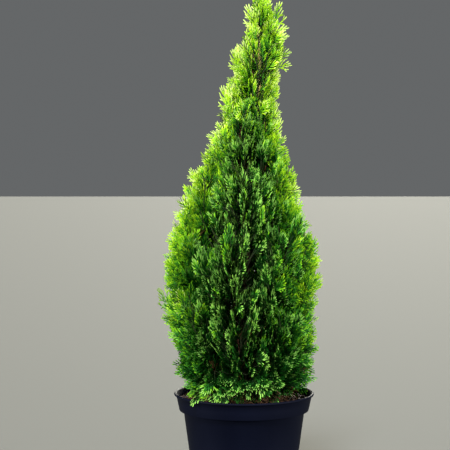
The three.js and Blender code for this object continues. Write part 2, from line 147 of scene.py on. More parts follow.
# Tiers of plumes from the soil up, as in the solids, in millimetres and degrees. Rise says how far up a limb
# turns, share how far out in the crown its tip stands, and splay how far its lowest twigs lean.
TIER_VALUES = ("name", "count", "foot", "spread", "tip", "turn", "rise", "share", "splay", "bough")
TIER_ROWS = [
    ("skirt", 7, 206, 22, 328, 14, 0.02, 0.72, 84, 4.2),
    ("lower", 7, 244, 52, 480, -8, 0.15, 0.7, 70, 5.2),
    ("middle", 6, 334, 56, 606, 22, 0.2, 0.66, 70, 4.6),
    ("upper", 5, 466, 56, 715, 36, 0.2, 0.58, 70, 0),
    ("high", 3, 590, 48, 812, 38, 0.2, 0.5, 66, 0),
    ("crown", 3, 700, 44, 880, 4, 0.2, 0.48, 66, 0),
]
TIERS = [dict(zip(TIER_VALUES, row)) for row in TIER_ROWS]
CROWN_SEED = 20
TURN_SCATTER = 12
TIP_SCATTER = 34
FOOT_STEP = 3
FIRST_REACH = 0.5
LAST_RISE = 0.42
BOUGH_SHARE = 0.27
BOUGH_TAPER = 0.62
BOUGH_RINGS = 10
BOUGH_SIDES = 12
LIMB_START = 0.12
STEM_RADIUS = 0.0026
STEM_TIP_RADIUS = 0.0008
STEM_RINGS = 12
STEM_SIDES = 6
TANGENT_STEP = 0.01
STEEP_LEAN = 32
GOLDEN_ANGLE = math.radians(137.5)
LEADER_HEIGHT = 0.963
LEADER_SPRAY = 0.03
LOW_HEIGHT = 0.062
LOW_DROOP = -0.5

# Fine foliage: twigs on each stem, and the sprays on each twig
TWIG_COUNTS = dict(skirt=24, lower=26, middle=26, upper=24, high=19, crown=14, leader=12)
TWIG_SPAN = (0.02, 0.95)
TWIG_REACH = 0.125
SHORTEST_TWIG = 0.015
LEAN_TRIES = (0, -0.22, -0.44, -0.66)
TURN_TRIES = (0, 0.35, -0.35, 0.7, -0.7)
LEAST_LEAN = 0.1
TWIG_RADII = 0.0006 * np.array([1.6, 1.1, 0.5])
TWIG_LIFT = 0.2
# Places on a twig: share of its run, and share of its lift
TWIG_PLACES = ((0, 0), (0.45, 0.2), (0.8, 0.64))
SPRAYS_PER_STRAND = 12
SPRAYS_PER_FILL = 9
# Shells of even targets: share of the crown's radius, and count
FILL_SHELLS = ((0.94, 780), (0.66, 280), (0.34, 260))
FILL_START = 0.012
FILL_RISE = 0.04
FILL_INSET = 0.01
SHORTEST_FILL = 0.012
LIMB_PLACES = 30
SPRAY_SIZES = (0.025, 0.035, 0.048)
SHORTEST_SPRAY = 0.017
FANS_PER_SIZE = 4
SPRAY_STEP = 0.0068
SIDE_LEAN = 0.68
STRAND_TWIST = math.radians(13)
SPRAY_TWIST = math.radians(10)
# Height in millimetres, and how steeply sprays rise there in degrees
SPRAY_RISE = np.array([
    [195, -16],
    [230, 2],
    [280, 28],
    [360, 46],
    [500, 54],
    [700, 60],
    [850, 62],
    [965, 76],
])
RAGGED_EDGE = (-0.02, 0.008)
# Share of the sprays that stand out from the rest, and how far
WISP_SHARE = 0.08
WISP_REACH = 0.007
# Sprays are shortened in steps until their tips, middles and shoulders are inside the crown
FIT_TRIES = 8
FIT_STEP = 0.86
SHOULDER = (0.66, 0.4)
# How far the foliage's edge stands off the outline, in millimetres: height, left and right
EDGE_SHIFT = np.array([
    [195, 0, 0],
    [218, 4, 3],
    [230, 9, 4],
    [249, 4, 6],
    [278, 3, 2],
    [304, 0, 0],
    [326, 4, 1],
    [352, -3, 2],
    [384, -1, 3],
    [416, 8, 3],
    [446, 0, 4],
    [465, 0, 4],
    [488, 0, 3],
    [521, -5, -4],
    [566, -6, -12],
    [601, -8, -6],
    [657, -7, -3],
    [677, -10, -3],
    [710, -5, -6],
    [745, -2, 0],
    [791, -4, 3],
    [829, -7, 9],
    [862, -3, 0],
    [901, -3, 8],
    [930, 0, 9],
    [965, 0, 0],
]) * MM
GROOVES = 26
GROOVE_DEPTH = 0.32
DEAD_SHARE = 0.006
PARTING_HEIGHT = 0.73
PARTING_WIDTH = 0.003
PARTING_FRONT = -0.002
# How far sprays may stand past the outline near the soil, all round and at the front left
DRAPE = 0.014
FRONT_DRAPE = 0.036
DRAPE_TOP = 0.25
DRAPE_FADE = 0.03
# Sprays that hang at the pot's front left: their arc in degrees, and where they stop reaching over the rim
DRAPE_ARC = (-153, -50)
DRAPE_OVER_RIM = -106
DRAPE_COUNT = 170
DRAPE_RADII = (0.09, 0.116)
DRAPE_HEIGHTS = (0.216, 0.24)
DRAPE_INSET = 0.016
DRAPE_LIFT = 0.014
DRAPE_LENGTHS = (0.028, 0.048)
DRAPE_FALL = (15, 55)
# Dark hollows in the crown's front, in millimetres: X, height, half width and half height
HOLLOWS = np.array([
    [7, 418, 13, 22],
    [11, 457, 12, 18],
    [-57, 488, 8, 26],
    [-16, 540, 12, 15],
    [-66, 582, 7, 11],
    [36, 618, 8, 12],
    [-5, 627, 8, 11],
    [71, 468, 9, 20],
]) * MM
HOLLOW_BACK = -0.02

# The grid over the crown, and what foliage keeps clear of
GRID_LOW = np.array([-0.176, -0.168, 0.19])
GRID_HIGH = np.array([0.176, 0.168, 0.985])
CELL = 0.004
STEM_REACH = 0.075
RUN_STEP = 0.003
RUN_SKIP = 0.009
LIMB_CLEARANCE = 0.003
RIM_START = COLLAR_TOP_RADIUS - 0.004
CELL_GAP = 0.002
SPRAY_GAP = 0.0015
SOIL_GAP = 0.001
RIM_GAP = 0.0005

# Light and shade painted into the foliage's greens. Pairs hold two heights, and what the painted light gains
# or is multiplied by at each.
SHADE_DEPTH = 0.045
HEIGHT_LIGHT = 0.35
FLANK_LIGHT = 0.085
LEFT_LIGHT = 0.09
SUNNY_TOP = ((0.62, 0.8), (0, 0.085))
SHADY_FOOT = ((0.2, 0.37), (-0.3, 0))
SUNNY_LEFT = ((0.42, 0.56), (0.1, 1.5))
# Sprays that face further to the front or the back than this get a painted highlight on their tips and
# painted shade at their bases. Then how near the tip the painted highlight starts, and where the painted
# shade stops
HIGHLIGHT_FACING = ((0.64, 0.8), (0.74, 1.35))
HIGHLIGHT_TIP = 0.88
SHADED_BELOW = 0.72
DEAD_TONE = 0.35

FOLIAGE_SEED = 11
random = np.random.default_rng(FOLIAGE_SEED)


# Small tools

def mix(a, b, share):
    return a + (b - a) * share


def unit(vectors):
    return vectors / np.maximum(np.linalg.norm(vectors, axis=-1, keepdims=True), 1e-9)


def square_to(tangents, guide):
    """The guide's direction, made square to each unit tangent."""
    return unit(guide - tangents * (tangents @ guide)[:, None])


def towards(a, b, angles):
    """Directions at angles from a towards b."""
    angles = np.asarray(angles)[..., None]
    return a * np.cos(angles) + b * np.sin(angles)


def turned(vectors, axes, angles):
    """Turned about unit axes that are square to the vectors."""
    return towards(vectors, np.cross(axes, vectors), angles)


def even_turns(sides):
    return np.arange(sides) * 2 * math.pi / sides


def polar(radius, azimuth, height, middle=0):
    return np.stack([middle + radius * np.cos(azimuth), radius * np.sin(azimuth), height], -1)


def read_table(table, heights):
    """Each further column of a table at heights, which are its first column."""
    return [np.interp(heights, table[:, 0], column) for column in table.T[1:]]


def source_numbers(state):
    """The run of numbers that the solids' layout uses."""
    while True:
        state = (state + 0x6D2B79F5) & 0xFFFFFFFF
        t = ((state ^ (state >> 15)) * (state | 1)) & 0xFFFFFFFF
        t ^= (t + (((t ^ (t >> 7)) * (t | 61)) & 0xFFFFFFFF)) & 0xFFFFFFFF
        yield (t ^ (t >> 14)) / 4294967296


def add_object(name, data):
    piece = bpy.data.objects.new(name, data)
    bpy.context.scene.collection.objects.link(piece)
    return piece


def make_mesh(name, points, faces, materials, slots=None, smooth=False):
    """An object from arrays of points and of faces with equally many corners."""
    mesh = bpy.data.meshes.new(name)
    mesh.vertices.add(len(points))
    mesh.vertices.foreach_set("co", np.ascontiguousarray(points, np.float32).ravel())
    mesh.loops.add(faces.size)
    mesh.loops.foreach_set("vertex_index", np.ascontiguousarray(faces, np.int32).ravel())
    mesh.polygons.add(len(faces))
    mesh.polygons.foreach_set("loop_start", np.arange(0, faces.size, faces.shape[1], dtype=np.int32))
    for material in materials:
        mesh.materials.append(material)
    if slots is not None:
        mesh.polygons.foreach_set("material_index", np.ascontiguousarray(slots, np.int32))
    mesh.polygons.foreach_set("use_smooth", np.full(len(faces), smooth))
    mesh.update(calc_edges=True)
    mesh.validate()
    return add_object(name, mesh)


def add_piece(piece, slot, *nodes):
    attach(piece, "root")
    if nodes:
        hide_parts(*nodes)


def wall_faces(rings, sides, corners=(0, 1, 2, 3)):
    """Faces between rings of points, from each wall's corners in the order given."""
    i, j = np.meshgrid(np.arange(rings - 1), np.arange(sides), indexing="ij")
    a = i * sides + j
    b = i * sides + (j + 1) % sides
    walls = np.stack([a, b, b + sides, a + sides], -1).reshape(-1, 4)[:, corners]
    return np.concatenate([walls[:, [0, 1, 2]], walls[:, [0, 2, 3]]])


def cap_faces(middle, first, sides):
    """Faces between a middle point and the ring that starts at the first point."""
    j = np.arange(sides)
    return np.stack([np.full(sides, middle), first + j, first + (j + 1) % sides], -1)


def tube(path, radii, sides, side=None, relief=1):
    """Points and faces of a closed tube along a path."""
    tangents = unit(np.gradient(path, axis=0))
    across = square_to(tangents, np.array([0.0, 1.0, 0.0]) if side is None else side)
    other = np.cross(across, tangents)
    turns = even_turns(sides)
    radii = radii[:, None] * np.ones(sides) * relief
    rings = (
        path[:, None]
        + across[:, None] * (radii * np.cos(turns))[..., None]
        + other[:, None] * (radii * np.sin(turns))[..., None]
    )
    points = np.concatenate([path[:1], rings.reshape(-1, 3), path[-1:]])
    last = len(points) - 1
    walls = 1 + wall_faces(len(path), sides, (0, 3, 2, 1))
    high = cap_faces(last, last - sides, sides)[:, [0, 2, 1]]
    return points, np.concatenate([walls, cap_faces(0, 1, sides), high])


def joined(parts):
    """Many (points, faces) pairs as one pair."""
    points = np.concatenate([part[0] for part in parts])
    starts = np.cumsum([0] + [len(part[0]) for part in parts[:-1]])
    faces = np.concatenate([part[1] + start for part, start in zip(parts, starts)])
    return points, faces


# Materials

RAMP_SPAN = (0.3, 0.7)


def set_inputs(node, **values):
    """Sets inputs by name, with _ for each space."""
    for name, value in values.items():
        node.inputs[name.replace("_", " ")].default_value = value
    return node


def add_node(material, kind, **values):
    return set_inputs(material.node_tree.nodes.new(f"ShaderNode{kind}"), **values)


def link(source, output, target, name):
    source.id_data.links.new(source.outputs[output], target.inputs[name])


def shader_of(material):
    return material.node_tree.nodes["Principled BSDF"]


def plain_material(name, colour, roughness, specular=0.5):
    material = bpy.data.materials.new(name)
    material.use_nodes = True
    set_inputs(shader_of(material), Base_Color=(*colour, 1), Roughness=roughness, Specular_IOR_Level=specular)
    return material


def noise_colour(material, colours, scale, stretch=(1, 1, 1), detail=6):
    """Colours a material by noise, and gives the nodes for place, noise and ramp."""
    place = add_node(material, "TexCoord")
    mapping = add_node(material, "Mapping", Scale=stretch)
    noise = add_node(material, "TexNoise", Scale=scale, Detail=detail)
    ramp = add_node(material, "ValToRGB")
    while len(ramp.color_ramp.elements) < len(colours):
        ramp.color_ramp.elements.new(0.5)
    for i, (element, colour) in enumerate(zip(ramp.color_ramp.elements, colours)):
        element.position = mix(*RAMP_SPAN, i / (len(colours) - 1))
        element.color = (*colour, 1)
    link(place, "Object", mapping, "Vector")
    link(mapping, "Vector", noise, "Vector")
    link(noise, "Fac", ramp, "Fac")
    link(ramp, "Color", shader_of(material), "Base Color")
    return place, noise, ramp


def add_bump(material, source, distance, strength):
    bump = add_node(material, "Bump", Distance=distance, Strength=strength)
    link(source, "Fac", bump, "Height")
    link(bump, "Normal", shader_of(material), "Normal")


def pot_plastic():
    material = plain_material("nursery_pot_plastic", (0.0016, 0.0024, 0.0085), 0.58, 0.03)
    colours = [(0.001, 0.0016, 0.007), (0.0021, 0.003, 0.0105)]
    place, noise, _ = noise_colour(material, colours, 9, (1, 1, 0.5))
    rough = add_node(material, "MapRange", To_Min=0.5, To_Max=0.66)
    link(noise, "Fac", rough, "Value")
    link(rough, "Result", shader_of(material), "Roughness")
    grain = add_node(material, "TexNoise", Scale=900)
    link(place, "Object", grain, "Vector")
    add_bump(material, grain, 0.0002, 0.25)
    return material


def bark_material():
    """Fibrous bark, dark red-brown at the foot and paler up the leader."""
    material = plain_material("thuja_bark", (0.12, 0.06, 0.035), 0.85, 0.25)
    colours = [(0.02, 0.01, 0.007), (0.055, 0.028, 0.018), (0.12, 0.07, 0.045)]
    place, noise, ramp = noise_colour(material, colours, 160, (1, 1, 0.16), 8)
    add_bump(material, noise, 0.001, 0.7)
    height = add_node(material, "SeparateXYZ")
    share = add_node(material, "MapRange", From_Min=0.6, From_Max=0.76)
    paler = add_node(material, "Mix")
    paler.data_type = "RGBA"
    set_inputs(paler, B=(0.48, 0.39, 0.16, 1))
    link(place, "Object", height, "Vector")
    link(height, "Z", share, "Value")
    link(share, "Result", paler, "Factor")
    link(ramp, "Color", paler, "A")
    link(paler, "Result", shader_of(material), "Base Color")
    return material


def mulch_material():
    material = plain_material("mulch_bed", (0.05, 0.025, 0.015), 0.95)
    colours = [(0.012, 0.007, 0.005), (0.045, 0.022, 0.014), (0.11, 0.055, 0.034)]
    noise = noise_colour(material, colours, 130, detail=8)[1]
    add_bump(material, noise, 0.002, 0.9)
    return material


# Greens from deep to pale are lit and shaded copies of one foliage colour: partly the darker old growth
# inside and paler young growth outside, mostly painted shade and painted light. dead_scale is the colour of
# dead scales.
FOLIAGE_TONES = [
    ("dead_scale", (0.1, 0.05, 0.022)),
    ("deep_green", (0.002, 0.022, 0.002)),
    ("dark_green", (0.008, 0.072, 0.007)),
    ("leaf_green", (0.038, 0.18, 0.013)),
    ("fresh_green", (0.14, 0.36, 0.01)),
    ("bright_green", (0.3, 0.53, 0.014)),
    ("pale_tip", (0.42, 0.58, 0.15)),
    # A painted highlight: the pale sheen on the tips of sprays that face front or back
    ("painted_highlight_tip", (0.165, 0.36, 0.07)),
]
DEAD_SLOT, DARKEST_SLOT, BRIGHTEST_SLOT, HIGHLIGHT_SLOT = 0, 1, 6, 7
foliage_materials = [plain_material(name, colour, 0.5, 0.1) for name, colour in FOLIAGE_TONES]
chip_materials = [
    plain_material("chip_dark", (0.012, 0.007, 0.005), 0.9, 0.2),
    plain_material("chip_red_brown", (0.045, 0.019, 0.012), 0.88, 0.2),
    plain_material("chip_tan", (0.1, 0.055, 0.036), 0.88, 0.2),
]
pot_material = pot_plastic()
bark = bark_material()
mulch = mulch_material()
# Twigs near-black green: painted shade of the crown's inside on twigs that are brown
twig_material = plain_material("shaded_twig", (0.012, 0.02, 0.007), 0.8, 0.2)
stem_material = plain_material("stem_bark", (0.06, 0.022, 0.012), 0.8, 0.2)


# Trunk, stems and boughs

def catmull_rom(points, steps=24):
    """The curve that the solids' trunk follows."""
    ends = np.concatenate([[2 * points[0] - points[1]], points, [2 * points[-1] - points[-2]]])
    spans = np.linalg.norm(np.diff(ends, axis=0), axis=1) ** 0.5
    curve = []
    for i in range(len(points) - 1):
        before, a, b, after = ends[i : i + 4]
        d0, d1, d2 = spans[i : i + 3]
        start = ((a - before) / d0 - (b - before) / (d0 + d1) + (b - a) / d1) * d1
        end = ((b - a) / d1 - (after - a) / (d1 + d2) + (after - b) / d2) * d1
        t = np.linspace(0, 1, steps, endpoint=False)[:, None]
        square = 3 * (b - a) - 2 * start - end
        cube = 2 * (a - b) + start + end
        curve.append(a + start * t + square * t**2 + cube * t**3)
    return np.concatenate([*curve, points[-1:]])


trunk_curve = catmull_rom(TRUNK_PATH)


def on_trunk(marks, at):
    """Places on the trunk's curve, whose points have the given marks."""
    return np.stack([np.interp(at, marks, column) for column in trunk_curve.T], -1)


def crown_at(heights):
    return read_table(CROWN_OUTLINE, heights)


def round_crown(x, y, z):
    """How far off the crown's middle places stand, their azimuth about it, and its radius there."""
    middle, radius = crown_at(z)
    return np.hypot(x - middle, y), np.arctan2(y, x - middle), radius


def bezier(points, t):
    t = np.asarray(t, float)[..., None]
    a, b, c, d = points
    return (1 - t) ** 3 * a + 3 * (1 - t) ** 2 * t * b + 3 * (1 - t) * t**2 * c + t**3 * d


class Plume:
    """A mass of foliage, whose limb is a bough up to the split and a stem from there on."""

    def __init__(self, name, tier, control, azimuth, split):
        self.name = name
        self.tier = tier
        self.control = control
        self.split = split
        self.side = np.array([-math.sin(azimuth), math.cos(azimuth), 0.0])
        self.path = self.stem(np.linspace(0, 1, STEM_RINGS))
        self.bough = bezier(control, np.linspace(0, split, BOUGH_RINGS)) if split else None

    def stem(self, place):
        return bezier(self.control, mix(self.split, 1, place))

    def tangent(self, place):
        ahead = np.minimum(place + TANGENT_STEP, 1.0)
        return unit(self.stem(ahead) - self.stem(ahead - 2 * TANGENT_STEP))

    def limb(self, count):
        """Places on the whole limb."""
        return bezier(self.control, np.linspace(LIMB_START, 1, count))


def plume_control(azimuth, foot, tip, tier):
    """A limb's curve, out from the trunk first and then up."""
    start = on_trunk(trunk_curve[:, 2], foot)
    outward = np.array([math.cos(azimuth), math.sin(azimuth), 0.0])

    def crown_point(height):
        middle, radius = crown_at(height)
        return np.array([middle, 0.0, height]) + outward * radius * tier["share"]

    end = crown_point(tip)
    reach = math.hypot(end[0] - start[0], end[1] - start[1])
    rise = tip - foot
    first = start + outward * FIRST_REACH * reach + UP * tier["rise"] * rise
    return np.array([start, first, crown_point(tip - LAST_RISE * rise), end])


def lay_out_tier(tier, numbers):
    for i in range(tier["count"]):
        scatter = TURN_SCATTER * (2 * next(numbers) - 1)
        azimuth = math.radians(tier["turn"] + 360 * i / tier["count"] + scatter)
        foot = tier["foot"] + tier["spread"] * ((FOOT_STEP * i) % tier["count"]) / tier["count"]
        tip = tier["tip"] + TIP_SCATTER * (next(numbers) - 0.5)
        control = plume_control(azimuth, foot * MM, tip * MM, tier)
        split = BOUGH_SHARE if tier["bough"] else 0
        yield Plume(f"{tier['name']}_plume_{i + 1}", tier, control, azimuth, split)


def leader_tuft():
    tier = dict(name="leader", splay=60, bough=0)
    foot = trunk_curve[-1]
    top = np.array([crown_at(LEADER_HEIGHT)[0], 0.0, LEADER_HEIGHT - LEADER_SPRAY])
    control = np.array([mix(foot, top, share) for share in (0, 1 / 3, 2 / 3, 1)])
    return Plume("leader_tuft", tier, control, math.pi / 2, 0)


crown_numbers = source_numbers(CROWN_SEED)
plumes = [plume for tier in TIERS for plume in lay_out_tier(tier, crown_numbers)]
plumes.append(leader_tuft())
stem_line = np.concatenate([trunk_curve, plumes[-1].path])


def bough_name(plume):
    return plume.name.replace("plume", "bough")


def bark_relief(rings, sides, strength):
    """Fibrous ridges, as a factor on a limb's radius."""
    turns = even_turns(sides)
    relief = np.ones((rings, sides))
    for waves in BARK_WAVES:
        drift = np.cumsum(random.normal(0, 0.22, rings))[:, None]
        relief += strength / len(BARK_WAVES) * np.sin(waves * turns + drift + random.uniform(0, 6))
    return relief


def make_trunk():
    """The leader's wood, with a lobed flare and a flat cut at its foot."""
    steps = np.linspace(0, len(trunk_curve) - 1, TRUNK_RINGS)
    path = on_trunk(np.arange(len(trunk_curve)), steps)
    along = steps / steps[-1]
    radii = mix(TRUNK_FOOT_RADIUS, TRUNK_TIP_RADIUS, along**TRUNK_TAPER)
    turns = even_turns(TRUNK_SIDES)
    fade = np.exp(-along * (LEADER_HEIGHT - SOIL_LEVEL) / FLARE_HEIGHT)[:, None]
    flare = 1 + FLARE_RADIUS * fade * (1 + LOBE_DEPTH * np.cos(FLARE_LOBES * turns)) / radii[:, None]
    relief = flare * bark_relief(TRUNK_RINGS, TRUNK_SIDES, TRUNK_BARK)
    points, faces = tube(path, radii, TRUNK_SIDES, relief=relief)
    foot = TRUNK_PATH[0, 2]
    points[:, 2] = np.where(points[:, 2] < foot + 0.003, foot, points[:, 2])
    add_piece(make_mesh("trunk_bark", points, faces, [bark], smooth=True), "bark", "trunk")


def make_bough(plume):
    along = np.linspace(0, 1, BOUGH_RINGS)
    radii = plume.tier["bough"] * MM * mix(1, BOUGH_TAPER, along)
    relief = bark_relief(BOUGH_RINGS, BOUGH_SIDES, BOUGH_BARK)
    points, faces = tube(plume.bough, radii, BOUGH_SIDES, plume.side, relief)
    piece = make_mesh(f"{bough_name(plume)}_bark", points, faces, [bark], smooth=True)
    add_piece(piece, "bark", bough_name(plume))


# Space: a grid that says which plume each place in the crown belongs to

def distance_to_path(points, path):
    """The least distance from each point to a path."""
    best = np.full(len(points), np.inf, np.float32)
    for a, b in zip(path[:-1], path[1:]):
        step = b - a
        share = np.clip((points - a) @ step / (step @ step), 0, 1)
        away = points - a - share[:, None] * step
        best = np.minimum(best, np.einsum("ij,ij->i", away, away))
    return np.sqrt(best)


def pot_top(reach, inner, over_rim, over_soil):
    """Heights that foliage stays above: the mulch up to an inner radius, and the rim beyond it."""
    return np.where(reach > inner, POT_HEIGHT + over_rim, SOIL_LEVEL + over_soil)


class CrownGrid:
    """Cells that hold the number of the nearest plume, or -1 where no foliage may stand."""

    def __init__(self):
        self.shape = np.ceil((GRID_HIGH - GRID_LOW) / CELL).astype(int)
        self.nearest = np.full(self.shape, STEM_REACH, np.float32)
        self.owner = np.full(self.shape, -1, np.int16)
        for index, plume in enumerate(plumes):
            self.claim(index, plume.path)
        self.owner[~self.inside_crown()] = -1
        self.clear_path(trunk_curve[::6], TRUNK_FOOT_RADIUS + LIMB_CLEARANCE)
        for plume in plumes:
            if plume.bough is not None:
                self.clear_path(plume.bough, plume.tier["bough"] * MM + LIMB_CLEARANCE)

    def centres(self, low, high):
        axes = [GRID_LOW[k] + (np.arange(low[k], high[k]) + 0.5) * CELL for k in range(3)]
        return np.meshgrid(*axes, indexing="ij")

    def distances(self, path, reach):
        """The cells within reach of a path, and how far off it they are."""
        low = np.maximum(((path.min(0) - reach - GRID_LOW) / CELL).astype(int), 0)
        high = np.minimum(((path.max(0) + reach - GRID_LOW) / CELL).astype(int) + 1, self.shape)
        points = np.stack(self.centres(low, high), -1)
        region = tuple(slice(a, b) for a, b in zip(low, high))
        return region, distance_to_path(points.reshape(-1, 3), path).reshape(points.shape[:3])

    def claim(self, index, path):
        region, distance = self.distances(path, STEM_REACH)
        nearer = distance < self.nearest[region]
        self.nearest[region][nearer] = distance[nearer]
        self.owner[region][nearer] = index

    def clear_path(self, path, reach):
        region, distance = self.distances(path, reach)
        self.owner[region][distance < reach] = -1

    def inside_crown(self):
        x, y, z = self.centres(np.zeros(3, int), self.shape)
        away, azimuth, radius = round_crown(x, y, z)
        ragged = 1 + 0.035 * np.sin(9 * azimuth + 38 * z) * np.sin(61 * z + 2 * azimuth)
        reach = np.hypot(x, y)
        floor = pot_top(reach, RIM_START, CELL_GAP, CELL_GAP)
        floor = np.where(reach > RIM_RADIUS + 0.003, POT_HEIGHT - 0.012, floor)
        return (away < radius * ragged) & (z > floor) & (z < LEADER_HEIGHT + CELL)

    def owner_at(self, points):
        cells = ((points - GRID_LOW) / CELL).astype(int)
        inside = ((cells >= 0) & (cells < self.shape)).all(-1)
        cells = np.clip(cells, 0, self.shape - 1)
        found = self.owner[cells[..., 0], cells[..., 1], cells[..., 2]]
        return np.where(inside, found, -1)

    def free_run(self, starts, directions, index):
        """How far each straight line runs in the plume's own space."""
        steps = np.arange(RUN_STEP, TWIG_REACH, RUN_STEP)
        points = starts[..., None, :] + directions[..., None, :] * steps[:, None]
        inside = (self.owner_at(points) == index) | (steps < RUN_SKIP)
        return RUN_STEP * np.cumprod(inside, -1).sum(-1)


# Sprays: flat fans of branchlets that fork left and right, each branchlet a chain of blunt blades

BLADE_WIDTH = 0.002
# Rows of a blade's points: share of its length, and half width in blade widths
BLADE_ROWS = ((0, 0.3), (0.6, 0.5), (1, 0.27))
BLADE_FACES = np.array([[0, 1, 3, 2], [2, 3, 5, 4]])
BLADE_OVERLAP = 1.15
BLADE_STEP = 0.0072
END_BLADE = 0.0066
AXIS_STEP = 0.008
AXIS_END = 0.006
AXIS_WIDTH = 0.85
# Branchlets: their spacing, where they stand on the axis, their angle at its foot and tip, and their lengths
BRANCHED_SHARE = 0.84
BRANCHLET_STEP = 0.0038
BRANCHLET_SPAN = (0.12, 0.94)
BRANCHLET_ANGLES = (0.78, 0.42)
LONGEST_SHARE = 0.46
WIDEST_PLACE = 0.35
SHORTEST_BRANCHLET = 0.005
FORKED_LENGTH = 0.011
FORK_ANGLE = 0.6


def heading(angle):
    return np.array([math.sin(angle), math.cos(angle), 0.0])


class Fan:
    """A flat spray along +Y: points, faces, and how near a tip each face is, from 0 to about 1."""

    def __init__(self, length, seed):
        self.random = np.random.default_rng(seed)
        self.length = length
        self.sway = self.random.normal(0, 0.05)
        self.parts = []
        self.tips = []
        self.add_axis()
        count = round(BRANCHED_SHARE * length / BRANCHLET_STEP)
        for i in range(count):
            share = (i + 0.5 + self.random.uniform(-0.2, 0.2)) / count
            self.add_branchlet(mix(*BRANCHLET_SPAN, share), 1 if i % 2 else -1)
        self.points, self.faces = joined(self.parts)
        self.tips = np.array(self.tips)

    def place(self, share):
        return self.length * np.array([self.sway * math.sin(2.6 * share), share, 0.0])

    def add_blade(self, root, angle, length, tip, width=1.0):
        """A blunt blade of two faces, which leans a little out of the spray's plane."""
        lean = self.random.normal(0, 0.2)
        across = heading(angle + math.pi / 2) * math.cos(lean) + UP * math.sin(lean)
        along = heading(angle) + UP * self.random.normal(0, 0.08)
        rows = []
        for share, half in BLADE_ROWS:
            middle = root + along * share * length
            side = across * half * width * BLADE_WIDTH
            rows += [middle - side, middle + side]
        self.parts.append((np.array(rows), BLADE_FACES))
        self.tips += [tip - 0.08, tip]

    def add_axis(self):
        count = round(self.length / AXIS_STEP)
        reach = BLADE_OVERLAP * self.length / count
        for i in range(count):
            root = self.place(i / count)
            step = self.place((i + 1) / count) - root
            tip = 0.2 + 0.6 * i / count
            self.add_blade(root, math.atan2(step[0], step[1]), reach, tip, AXIS_WIDTH)
        self.add_blade(self.place(1), 0.0, AXIS_END, 1)

    def branchlet_length(self, share):
        if share < WIDEST_PLACE:
            bulge = math.sin(math.pi * (share / (2 * WIDEST_PLACE)) ** 0.8)
        else:
            bulge = (1 - share) / (1 - WIDEST_PLACE)
        return max(LONGEST_SHARE * self.length * bulge * self.random.uniform(0.75, 1.2), SHORTEST_BRANCHLET)

    def add_branchlet(self, share, hand):
        """A chain of blades that bends towards the tip, with side blades at its joints."""
        length = self.branchlet_length(share)
        angle = hand * mix(*BRANCHLET_ANGLES, share) + self.random.normal(0, 0.07)
        count = max(round(length / BLADE_STEP), 1)
        step = length / count
        spot = self.place(share)
        for k in range(count):
            bent = angle * (1 - 0.35 * k / count)
            tip = mix(0.25 + 0.3 * share, 1, (k + 1) / (count + 1))
            self.add_blade(spot, bent, BLADE_OVERLAP * step, tip)
            spot = spot + step * heading(bent)
            if k or length > FORKED_LENGTH:
                fork = bent + (hand if k % 2 else -hand) * FORK_ANGLE
                reach = BLADE_STEP * self.random.uniform(0.75, 1.15)
                self.add_blade(spot - 0.25 * step * heading(bent), fork, reach, tip + 0.08)
        self.add_blade(spot, angle * 0.62, END_BLADE, 1)


fans = [[Fan(size, 40 + 10 * i + j) for j in range(FANS_PER_SIZE)] for i, size in enumerate(SPRAY_SIZES)]


# Growth: the solids' rule again, then strands of sprays along every twig

def outward_at(points):
    outward = points * LEVEL
    outward[:, 0] -= crown_at(points[:, 2])[0]
    return unit(outward)


def twig_directions(starts, tangents, across, leans, turns):
    """Directions that lean off the stem, and droop only so far near the soil."""
    directions = towards(tangents, turned(across, tangents, turns), leans)
    low = starts[:, 2] < SOIL_LEVEL + LOW_HEIGHT
    directions[:, 2] = np.where(low, np.maximum(directions[:, 2], LOW_DROOP), directions[:, 2])
    return unit(directions)


def grow_twigs(grid, index, plume):
    """Starts, directions and free runs of a plume's twigs, the best of a few tries."""
    count = TWIG_COUNTS[plume.tier["name"]]
    k = np.arange(count)
    place = mix(*TWIG_SPAN, (k + 0.5 * random.random(count)) / (count - 0.5))
    starts = plume.stem(place)
    tangents = plume.tangent(place)
    across = square_to(tangents, plume.side)
    turns = k * GOLDEN_ANGLE + random.normal(0, 0.2, count)
    leans = np.radians(mix(plume.tier["splay"], STEEP_LEAN, place))
    best = np.zeros(count)
    chosen = np.zeros((count, 3))
    for lean_step, turn_step in product(LEAN_TRIES, TURN_TRIES):
        tried = np.maximum(leans + lean_step, LEAST_LEAN)
        directions = twig_directions(starts, tangents, across, tried, turns + turn_step)
        runs = grid.free_run(starts, directions, index)
        worth = runs * (0.4 + np.sin(tried)) * random.uniform(0.9, 1, count)
        chosen = np.where((worth > best)[:, None], directions, chosen)
        best = np.maximum(worth, best)
    runs = grid.free_run(starts, chosen, index)
    keep = runs > SHORTEST_TWIG
    return starts[keep], chosen[keep], runs[keep]


def spray_headings(points, leads, scatter):
    """Sprays head outward and up, and less steeply towards the soil."""
    level = unit(leads * LEVEL) * 0.6 + outward_at(points) * 0.6
    level = unit(level + random.normal(0, 0.16, points.shape) * LEVEL)
    rise = read_table(SPRAY_RISE, points[:, 2] / MM)[0]
    return towards(level, UP, np.radians(rise + random.normal(0, scatter, len(points))))


def spray_widths(points, directions, twists):
    """Sprays stand in planes that hold the crown's axis, and twist out of them."""
    normals = np.cross(UP, outward_at(points))
    normals = unit(normals - directions * np.einsum("ij,ij->i", normals, directions)[:, None])
    return turned(np.cross(normals, directions), directions, twists)


def groove_at(azimuth, heights):
    """How deep the dark gaps between strands are, from 0 to 1."""
    waves = GROOVES * azimuth + 2.2 * np.sin(13 * heights) + 1.3 * np.sin(37 * heights + 2 * azimuth)
    return np.clip(np.sin(waves), 0, 1)


